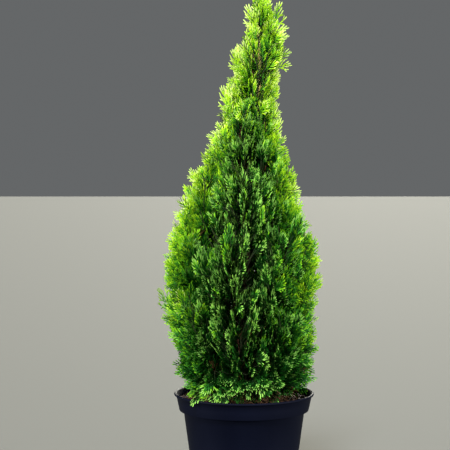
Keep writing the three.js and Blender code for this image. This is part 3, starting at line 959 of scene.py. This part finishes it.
def edge_shift(azimuth, heights):
    """How far the foliage's edge stands off the crown's outline."""
    side = np.cos(azimuth)
    left, right = read_table(EDGE_SHIFT, heights)
    return np.where(side < 0, -side * left, side * right)


def in_parting(points):
    """Places in front of the upper stem, where it shows."""
    x, y, z = np.moveaxis(points, -1, 0)
    stem = np.interp(z, stem_line[:, 2], stem_line[:, 0])
    return (np.abs(x - stem) < PARTING_WIDTH) & (y < PARTING_FRONT) & (z > PARTING_HEIGHT)


def in_hollow(points):
    """Places in the hollows, which open to the front."""
    x, y, z = np.moveaxis(points, -1, 0)
    found = np.zeros(x.shape, bool)
    for middle, height, half_width, half_height in HOLLOWS:
        found |= ((x - middle) / half_width) ** 2 + ((z - height) / half_height) ** 2 < 1
    return found & (y < HOLLOW_BACK)


def drape_at(azimuth, heights):
    at_front = (azimuth > math.radians(DRAPE_ARC[0])) & (azimuth < math.radians(DRAPE_OVER_RIM))
    return np.where(at_front, FRONT_DRAPE, DRAPE) * np.clip((DRAPE_TOP - heights) / DRAPE_FADE, 0, 1)


def beyond_crown(points, slack):
    """Places outside the crown's outline, in its gaps, or in the rim or the mulch."""
    x, y, z = np.moveaxis(points, -1, 0)
    away, azimuth, radius = round_crown(x, y, z)
    limit = radius * (1 - GROOVE_DEPTH * groove_at(azimuth, z))
    limit = limit + edge_shift(azimuth, z) + slack + drape_at(azimuth, z)
    buried = z < pot_top(np.hypot(x, y), RIM_START, SPRAY_GAP, SPRAY_GAP)
    return (away > limit) | buried | in_parting(points) | in_hollow(points) | (z > LEADER_HEIGHT + 0.003)


def lifted(points):
    """Points raised out of the mulch and the pot's rim."""
    x, y, z = np.moveaxis(points, -1, 0)
    reach = np.hypot(x, y)
    floor = pot_top(reach, COLLAR_TOP_RADIUS - WALL - RIM_GAP, RIM_GAP, SOIL_GAP)
    floor = np.where(reach > RIM_RADIUS + RIM_GAP, 0, floor)
    return np.stack([x, y, np.maximum(z, floor)], -1)


def fit_lengths(roots, directions, widths, lengths):
    """Lengths at which sprays are inside the crown, and which are long enough."""
    slack = mix(*RAGGED_EDGE, random.random(len(roots)) ** 2)
    wisps = random.random(len(roots)) < WISP_SHARE * np.abs(outward_at(roots)[:, 0])
    slack = (slack + WISP_REACH * wisps)[:, None]
    ahead, aside = SHOULDER[0] * directions, SHOULDER[1] * widths
    offsets = np.stack([directions, 0.5 * directions, ahead + aside, ahead - aside], 1)
    for _ in range(FIT_TRIES):
        beyond = beyond_crown(roots[:, None] + lengths[:, None, None] * offsets, slack).any(1)
        lengths = np.where(beyond, lengths * FIT_STEP, lengths)
    return lengths, ~beyond & (lengths > SHORTEST_SPRAY)


def fill_targets():
    """Even places on shells in the crown."""
    heights = np.linspace(SOIL_LEVEL + FILL_START, LEADER_HEIGHT - LEADER_SPRAY, 400)
    area = np.cumsum(crown_at(heights)[1])
    targets = []
    for share, count in FILL_SHELLS:
        k = np.arange(count)
        z = np.interp((k + 0.5) / count, area / area[-1], heights)
        azimuth = k * GOLDEN_ANGLE + random.normal(0, 0.08, count)
        middle, radius = crown_at(z)
        radius = share * (radius + edge_shift(azimuth, z)) * random.uniform(0.92, 1.03, count)
        targets.append(polar(radius, azimuth, z, middle))
    return np.concatenate(targets)


def drape_roots():
    """Where the hanging sprays start, inside the rim."""
    azimuth = np.radians(np.linspace(*DRAPE_ARC, DRAPE_COUNT))
    inside_rim = azimuth > math.radians(DRAPE_OVER_RIM)
    radius = random.uniform(*DRAPE_RADII, DRAPE_COUNT) - DRAPE_INSET * inside_rim
    height = random.uniform(*DRAPE_HEIGHTS, DRAPE_COUNT) + DRAPE_LIFT * inside_rim
    return polar(radius, azimuth, height)


def nearest_on(path, points):
    """The path's nearest place to each point."""
    return np.linalg.norm(path[None] - points[:, None], axis=2).argmin(1)


def grow_fill(plume, targets):
    """Twigs that reach up from a limb to each target."""
    path = plume.limb(LIMB_PLACES)
    nearest = nearest_on(path, targets - UP * FILL_RISE - FILL_INSET * outward_at(targets))
    starts = path[np.clip(nearest + random.integers(-4, 5, len(targets)), 0, len(path) - 1)]
    reach = targets - starts
    runs = np.linalg.norm(reach, axis=1)
    keep = runs > SHORTEST_FILL
    return starts[keep], unit(reach[keep]), runs[keep]


def strand_places(step, runs):
    """How far along each twig the next spray stands, and if there is room for it."""
    back = 0.5 * SPRAY_SIZES[-1] + SPRAY_STEP * (step - 1) if step else 0.78 * SPRAY_SIZES[-1]
    along = 1 - back / runs + random.normal(0, 0.02, len(runs))
    return np.clip(along, 0.05, 1), (along > 0.06) | (step < 3)


def strand_sprays(step, sprays_each, roots, headings, twists):
    """One spray on each twig, of which only the first leads ahead."""
    hand = (1.0 if step % 2 else -1.0) * (step > 0)
    lean = random.normal(SIDE_LEAN, 0.12, len(roots)) * hand
    directions = unit(towards(headings, spray_widths(roots, headings, twists), lean))
    directions = unit(directions + UP * 0.14 + random.normal(0, 0.13, roots.shape))
    widths = spray_widths(roots, directions, twists + random.normal(0, SPRAY_TWIST, len(roots)))
    small, middling, large = SPRAY_SIZES
    size = mix(middling, small, step / sprays_each) if step else large
    return directions, widths, size * random.uniform(0.85, 1.15, len(roots))


def grow_strands(starts, directions, runs, sprays_each):
    """Sprays (roots, directions, widths, lengths, strand tones) and the twigs' own paths."""
    count = len(starts)
    runs = runs + random.uniform(-0.004, 0.004, count)
    tones = random.normal(0, 0.07, count)
    twists = random.normal(0, STRAND_TWIST, count)
    lift = TWIG_LIFT * runs * (1 - 0.6 * directions[:, 2])
    reach = directions * runs[:, None]
    headings = spray_headings(starts + reach * 0.9, directions, 7)
    columns = []
    for step in range(sprays_each):
        along, good = strand_places(step, runs)
        roots = starts + directions * (runs * along)[:, None] + UP * (lift * along**2)[:, None]
        heads, widths, lengths = strand_sprays(step, sprays_each, roots, headings, twists)
        lengths, fits = fit_lengths(roots, heads, widths, lengths)
        columns.append([value[good & fits] for value in (roots, heads, widths, lengths, tones)])
    twigs = [starts + reach * share + UP * (rise * lift)[:, None] for share, rise in TWIG_PLACES]
    return [np.concatenate(column) for column in zip(*columns)], np.stack(twigs, 1)


def grow_drape(plume, roots):
    """Sprays that fall outward, each on a twig from the plume's limb."""
    count = len(roots)
    outward = outward_at(roots)
    directions = towards(outward, -UP, np.radians(random.uniform(*DRAPE_FALL, count)))
    widths = turned(np.cross(UP, outward), directions, random.normal(0, 0.35, count))
    lengths = random.uniform(*DRAPE_LENGTHS, count)
    lengths, fits = fit_lengths(roots, directions, widths, lengths)
    path = plume.limb(LIMB_PLACES)
    starts = path[nearest_on(path, roots)]
    twigs = np.stack([starts, mix(starts, roots, 0.6) + UP * 0.006, roots], 1)
    # The hanging sprays' tones are raised by 0.15: painted light on the drape
    sprays = (roots, directions, widths, lengths, random.normal(0.15, 0.06, count))
    return [value[fits] for value in sprays], twigs[fits]


def grow_sprays(grid, index, plume, targets, hanging):
    """Every spray of a plume, and the twigs that carry them."""
    grown = [
        grow_strands(*grow_twigs(grid, index, plume), SPRAYS_PER_STRAND),
        grow_strands(*grow_fill(plume, targets), SPRAYS_PER_FILL),
        grow_drape(plume, hanging),
    ]
    sprays = [np.concatenate(column) for column in zip(*(part[0] for part in grown))]
    return sprays, np.concatenate([part[1] for part in grown])


def spray_tones(roots, directions, lengths, strand_tones):
    """How bright each spray is, from 0 inside the crown to 1 at its outside: painted shade inside, and
    painted light outside, on the flanks, up the crown, at the top and at the left, with painted shade at the
    foot and a tone that differs at random.
    """
    x, y, z = (roots + directions * 0.7 * lengths[:, None]).T
    away, azimuth, radius = round_crown(x, y, z)
    depth = radius + edge_shift(azimuth, z) - away
    outside = 0.5 * np.clip(1 - depth / SHADE_DEPTH, 0, 1)
    height = np.clip((z - SOIL_LEVEL) / (LEADER_HEIGHT - SOIL_LEVEL), 0, 1)
    flanks = FLANK_LIGHT * np.cos(2 * azimuth)
    sunny_left = LEFT_LIGHT * np.clip(-np.cos(azimuth), 0, 1) * np.interp(z, *SUNNY_LEFT)
    sunlight = np.interp(z, *SUNNY_TOP) + np.interp(z, *SHADY_FOOT) + sunny_left
    noise = random.normal(0, 0.06, len(roots)) + strand_tones
    return np.clip(outside + flanks + HEIGHT_LIGHT * np.sqrt(height) + sunlight + noise, 0, 1)


def bent_fan(fan, widths, directions, mirrors, curls, cups, twists):
    """A fan's points from each spray's root, for a length of 1."""
    x, y, z = fan.points.T / fan.length
    turn = twists[:, None] * y
    height = z + cups[:, None] * x * x
    flat = x * mirrors[:, None]
    normals = np.cross(widths, directions)
    return (
        widths[:, None] * (flat * np.cos(turn) - height * np.sin(turn))[..., None]
        + directions[:, None] * y[:, None]
        + normals[:, None] * (flat * np.sin(turn) + height * np.cos(turn))[..., None]
        + UP * (curls[:, None] * y * y)[..., None]
    )


def face_slots(fan, tones, highlighted):
    """Each face's material: greens brighter to the tips as painted light, a few brown sprays, and painted
    highlights on the tips and painted shade at the bases of sprays that face front or back.
    """
    # Painted light: greens step up with the spray's painted light and towards the tips, with painted shade at
    # the bases
    light = tones[:, None] * 4.4 + 0.8 + (fan.tips[None] - 0.7) * 5
    light += random.normal(0, 0.12, light.shape)
    dead = (tones < DEAD_TONE) & (random.random(len(tones)) < DEAD_SHARE)
    slots = np.clip(np.rint(light), DARKEST_SLOT, BRIGHTEST_SLOT)
    # Sprays that face front or back: painted shade, one green darker, at the bases, and a painted highlight
    # on the tips
    painted_shade = highlighted[:, None] & (fan.tips < SHADED_BELOW) & (slots > DARKEST_SLOT)
    highlight = highlighted[:, None] & (fan.tips > HIGHLIGHT_TIP) & (slots > DARKEST_SLOT + 1)
    slots[painted_shade] -= 1
    slots[highlight] = HIGHLIGHT_SLOT
    return np.where(dead[:, None], DEAD_SLOT, slots).reshape(-1)


def make_sprays(plume, roots, directions, widths, lengths, strand_tones):
    """All sprays of one plume, as one piece."""
    count = len(roots)
    tones = spray_tones(roots, directions, lengths, strand_tones)
    sizes = np.abs(lengths[:, None] - np.array(SPRAY_SIZES)).argmin(1)
    kinds = sizes * FANS_PER_SIZE + random.integers(0, FANS_PER_SIZE, count)
    mirrors = np.where(random.random(count) < 0.5, -1.0, 1.0)
    curls = random.normal(0.1, 0.12, count)
    cups = random.normal(0, 0.25, count)
    twists = random.normal(0, 0.3, count)
    # Sprays that face the front or the back get a painted highlight on their tips and painted shade at their
    # bases
    facing = np.abs(outward_at(roots)[:, 1]) + random.normal(0, 0.2, count)
    highlighted = facing > np.interp(roots[:, 2], *HIGHLIGHT_FACING)
    parts, slots = [], []
    for kind in np.unique(kinds):
        fan = fans[kind // FANS_PER_SIZE][kind % FANS_PER_SIZE]
        own = kinds == kind
        offsets = bent_fan(fan, *(value[own] for value in (widths, directions, mirrors, curls, cups, twists)))
        placed = lifted(roots[own][:, None] + lengths[own][:, None, None] * offsets)
        starts = np.arange(own.sum()) * len(fan.points)
        parts.append((placed.reshape(-1, 3), (fan.faces[None] + starts[:, None, None]).reshape(-1, 4)))
        slots.append(face_slots(fan, tones[own], highlighted[own]))
    piece = make_mesh(f"{plume.name}_sprays", *joined(parts), foliage_materials, np.concatenate(slots))
    add_piece(piece, "foliage", plume.name)


def nearest_plumes(points):
    return np.argmin([distance_to_path(points, plume.limb(14)) for plume in plumes], axis=0)


def stem_tube(plume):
    foot = plume.tier["bough"] * MM * BOUGH_TAPER or STEM_RADIUS
    if plume.name == "leader_tuft":
        foot = TRUNK_TIP_RADIUS
    along = np.linspace(0, 1, STEM_RINGS)
    return tube(plume.path, mix(foot, STEM_TIP_RADIUS, along), STEM_SIDES, plume.side)


def make_twigs(name, stems, twigs):
    """The stems and twigs of one tier, as one piece."""
    points, faces = joined(stems + twigs)
    slots = np.arange(len(faces)) >= sum(len(stem[1]) for stem in stems)
    materials = [bark if name == "leader" else stem_material, twig_material]
    add_piece(make_mesh(f"{name}_twigs", points, faces, materials, slots, smooth=True), "bark")


def make_foliage():
    global random
    grid = CrownGrid()
    targets = fill_targets()
    target_owners = nearest_plumes(targets)
    hanging = drape_roots()
    hanging_owners = nearest_plumes(hanging)
    wood = {plume.tier["name"]: ([], []) for plume in plumes}
    for index, plume in enumerate(plumes):
        random = np.random.default_rng([FOLIAGE_SEED, index])
        own_targets = targets[target_owners == index]
        own_hanging = hanging[hanging_owners == index]
        sprays, twigs = grow_sprays(grid, index, plume, own_targets, own_hanging)
        make_sprays(plume, *sprays)
        tier_stems, tier_twigs = wood[plume.tier["name"]]
        tier_stems.append(stem_tube(plume))
        tier_twigs += [tube(twig, TWIG_RADII, 4) for twig in twigs]
    for name, (tier_stems, tier_twigs) in wood.items():
        make_twigs(name, tier_stems, tier_twigs)


# Pot and mulch

def pot_outside():
    """Radii and heights from the underside's middle up to the lip."""
    lip_radius, lip_height = RIM_RADIUS - LIP_ROUNDING, POT_HEIGHT - LIP_ROUNDING
    turns = np.linspace(-math.pi / 2, math.pi / 2, 9)
    return [
        (0.0, 0.0),
        (0.06, 0.0),
        (0.061, 0.0008),
        (0.063, 0.0008),
        (0.064, 0.0),
        (BASE_RADIUS - BASE_ROUNDING, 0.0),
        (BASE_RADIUS - 0.002, 0.0008),
        (BASE_RADIUS - 0.0004, 0.0026),
        (BASE_RADIUS + 0.0006, BASE_ROUNDING),
        (mix(BASE_RADIUS, BODY_TOP_RADIUS, 0.5), COLLAR_FOOT * 0.5),
        (BODY_TOP_RADIUS, COLLAR_FOOT - 0.001),
        (BODY_TOP_RADIUS + 0.001, COLLAR_FOOT),
        (COLLAR_FOOT_RADIUS - 0.002, COLLAR_FOOT - 0.0003),
        (COLLAR_FOOT_RADIUS - 0.0006, COLLAR_FOOT),
        (COLLAR_FOOT_RADIUS, COLLAR_FOOT + 0.0012),
        (mix(COLLAR_FOOT_RADIUS, COLLAR_TOP_RADIUS, 0.5), COLLAR_FOOT + 0.5 * (COLLAR_HEIGHT - LIP_HEIGHT)),
        (COLLAR_TOP_RADIUS, POT_HEIGHT - LIP_HEIGHT - 0.0014),
        (COLLAR_TOP_RADIUS + 0.0012, POT_HEIGHT - LIP_HEIGHT - 0.0004),
        *[(lip_radius + LIP_ROUNDING * math.cos(a), lip_height + LIP_ROUNDING * math.sin(a)) for a in turns],
    ]


def pot_inside():
    """Radii and heights from the lip down to the floor's middle."""
    return [
        (COLLAR_TOP_RADIUS + 0.0004, POT_HEIGHT - 0.0002),
        (COLLAR_TOP_RADIUS - WALL, POT_HEIGHT - 0.002),
        (COLLAR_FOOT_RADIUS - WALL, COLLAR_FOOT + 0.0025),
        (BODY_TOP_RADIUS - WALL, COLLAR_FOOT + 0.0005),
        (BASE_RADIUS + 0.0006 - WALL, BASE_ROUNDING + 0.001),
        (BASE_RADIUS - 0.0035, FLOOR),
        (0.0, FLOOR),
    ]


def lathe(profile, sides):
    """Points and faces of a turned profile, whose first and last points lie on the axis."""
    rings = np.array(profile[1:-1])
    points = polar(rings[:, :1], even_turns(sides), rings[:, 1:] * np.ones(sides)).reshape(-1, 3)
    ends = np.array([[0, 0, profile[0][1]], [0, 0, profile[-1][1]]])
    count = len(points)
    low = cap_faces(count, 0, sides)[:, [0, 2, 1]]
    high = cap_faces(count + 1, count - sides, sides)
    faces = np.concatenate([wall_faces(len(rings), sides), low, high])
    return np.concatenate([points, ends]), faces


def make_drill():
    """Round pins where the drain holes are."""
    drill = bmesh.new()
    for i in range(DRAIN_HOLES):
        turn = 2 * math.pi * (i + 0.5) / DRAIN_HOLES
        made = bmesh.ops.create_cone(
            drill, cap_ends=True, segments=24, radius1=DRAIN_RADIUS, radius2=DRAIN_RADIUS, depth=4 * FLOOR
        )
        centre = Vector((DRAIN_CIRCLE * math.cos(turn), DRAIN_CIRCLE * math.sin(turn), 0))
        bmesh.ops.translate(drill, verts=made["verts"], vec=centre)
    mesh = bpy.data.meshes.new("drill")
    drill.to_mesh(mesh)
    return add_object("drill", mesh)


def make_pot():
    points, faces = lathe([*pot_outside(), *pot_inside()], POT_SIDES)
    pot = make_mesh("nursery_pot", points, faces, [pot_material], smooth=True)
    drill = make_drill()
    cut = pot.modifiers.new("drain_holes", "BOOLEAN")
    cut.object = drill
    cut.solver = "EXACT"
    bpy.context.view_layer.objects.active = pot
    bpy.ops.object.modifier_apply(modifier=cut.name)
    bpy.data.objects.remove(drill)
    pot.data.polygons.foreach_set("use_smooth", np.full(len(pot.data.polygons), True))
    pot.data.set_sharp_from_angle(angle=math.radians(40))
    add_piece(pot, "pot_plastic", "pot")


def soil_height(x, y):
    """The mulch's top: level at the trunk, bumpy further out, and lower at the wall."""
    bumps = np.sin(110 * x + 1.3) * np.cos(130 * y) + 0.6 * np.sin(310 * x - 270 * y)
    grain = np.sin(730 * x + 5 * np.sin(410 * y)) * np.sin(690 * y + 4 * np.sin(380 * x))
    reach = np.hypot(x, y)
    rough = np.clip((reach - FOOT_DISC_RADIUS) / 0.01, 0, 1)
    dip = SOIL_DIP * np.clip(reach / SOIL_DIP_RADIUS, 0, 1) ** 4
    return SOIL_LEVEL - SOIL_SINK + rough * (SOIL_BUMP * bumps + SOIL_GRAIN * grain) - dip


def make_soil():
    """Mulch and root ball as one filling, clear of the pot's wall."""
    inset = WALL + 0.0004
    profile = [
        (0.0, FLOOR + 0.0003),
        (BASE_RADIUS - 0.004, FLOOR + 0.0003),
        (BASE_RADIUS - inset, BASE_ROUNDING + 0.002),
        (BODY_TOP_RADIUS - inset, COLLAR_FOOT + 0.0005),
        (COLLAR_FOOT_RADIUS - 0.0003 - inset, COLLAR_FOOT + 0.0032),
        *[(SOIL_EDGE * (1 - i / SOIL_RINGS), SOIL_LEVEL) for i in range(SOIL_RINGS)],
        (0.0, SOIL_LEVEL),
    ]
    points, faces = lathe(profile, SOIL_SIDES)
    upper = points[:, 2] >= SOIL_LEVEL
    points[upper, 2] = soil_height(points[upper, 0], points[upper, 1])
    add_piece(make_mesh("mulch_bed", points, faces, [mulch], smooth=True), "bark_mulch", "soil")


def chip_slab():
    """Points of a flat five-sided flake, its lower side first."""
    length = random.uniform(*CHIP_LENGTHS)
    width = length * random.uniform(*CHIP_WIDTHS)
    thick = random.uniform(*CHIP_THICKNESSES)
    corners = CHIP_OUTLINE * random.uniform(0.7, 1.1, CHIP_OUTLINE.shape) * [length / 2, width / 2]
    low = np.c_[corners, np.full(5, -thick / 2)]
    high = np.c_[corners * 0.85, np.full(5, thick / 2)]
    return np.concatenate([low, high])


def chip_axes():
    """Directions of a flake's length, width and thickness."""
    yaw = random.uniform(0, 2 * math.pi)
    tilt, roll = random.normal(0, 0.3, 2)
    along = np.array([math.cos(yaw) * math.cos(tilt), math.sin(yaw) * math.cos(tilt), math.sin(tilt)])
    across = unit(np.cross(UP, along)) * math.cos(roll) + UP * math.sin(roll)
    across = unit(across - along * (across @ along))
    return np.array([along, across, np.cross(along, across)])


def make_chips():
    """Flakes of bark that lie on the mulch."""
    reach = SOIL_EDGE * 0.975 * np.sqrt(random.uniform(0.03, 1, CHIP_COUNT))
    centres = polar(reach, random.uniform(0, 2 * math.pi, CHIP_COUNT), np.zeros(CHIP_COUNT))
    centres[:, 2] = soil_height(centres[:, 0], centres[:, 1]) + random.uniform(*CHIP_HEIGHTS, CHIP_COUNT)
    faces = np.concatenate([wall_faces(2, len(CHIP_OUTLINE)), CHIP_CAPS])
    parts = [(centre + chip_slab() @ chip_axes(), faces) for centre in centres]
    slots = np.repeat(random.choice(3, CHIP_COUNT, p=CHIP_SHARES), len(faces))
    add_piece(make_mesh("bark_chips", *joined(parts), chip_materials, slots), "bark_mulch")


# Studio

CAMERA_PLACE = (-0.0354, -2.49, 0.6162)
CAMERA_LENS = 107.6
CAMERA_DOWN = math.radians(2.3)
CAMERA_SENSOR = 36
CROWN_MIDDLE = (0, 0, 0.6)
FLOOR_REACH = 30


def make_camera():
    camera = add_object("camera", bpy.data.cameras.new("camera"))
    camera.data.lens = CAMERA_LENS
    camera.data.sensor_width = CAMERA_SENSOR
    camera.location = CAMERA_PLACE
    camera.rotation_euler = (math.pi / 2 - CAMERA_DOWN, 0, 0)
    bpy.context.scene.camera = camera


def make_sun(name, place, strength, softness, colour):
    """A soft light on the line from a place to the crown's middle."""
    sun = add_object(name, bpy.data.lights.new(name, "SUN"))
    sun.data.energy = strength
    sun.data.color = colour
    sun.data.angle = math.radians(softness)
    sun.location = place
    sun.rotation_euler = (Vector(CROWN_MIDDLE) - Vector(place)).to_track_quat("-Z", "Y").to_euler()


def make_studio():
    floor_material = plain_material("pale_floor", (0.1, 0.102, 0.108), 0.9, 0.1)
    points = FLOOR_REACH * np.array([[-1, -1, 0], [1, -1, 0], [1, 1, 0], [-1, 1, 0]], float)
    floor = make_mesh("floor", points, np.array([[0, 1, 2, 3]]), [floor_material])
    floor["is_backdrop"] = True
    world = bpy.data.worlds.new("studio")
    world.use_nodes = True
    set_inputs(world.node_tree.nodes["Background"], Color=(0.86, 0.9, 0.92, 1), Strength=0.15)
    bpy.context.scene.world = world
    make_sun("left", (-1.9, -0.9, 1.15), 7.2, 20, (1, 0.95, 0.62))
    make_sun("right", (1.9, -0.85, 1.1), 6.5, 20, (1, 0.95, 0.65))
    make_sun("back", (0.3, 1.9, 1.5), 5, 20, (1, 0.97, 0.85))
    make_sun("key", (-0.3, -1.5, 2.4), 4.5, 15, (0.93, 0.98, 0.95))
    bpy.context.scene.view_settings.view_transform = "Standard"


make_camera()
make_trunk()
for plume in plumes:
    if plume.bough is not None:
        make_bough(plume)
make_foliage()
make_pot()
make_soil()
make_chips()
make_studio()

boxes = {"cad": cad_box, "scene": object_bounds()}
{name: [list(corner) for corner in box] for name, box in boxes.items()}
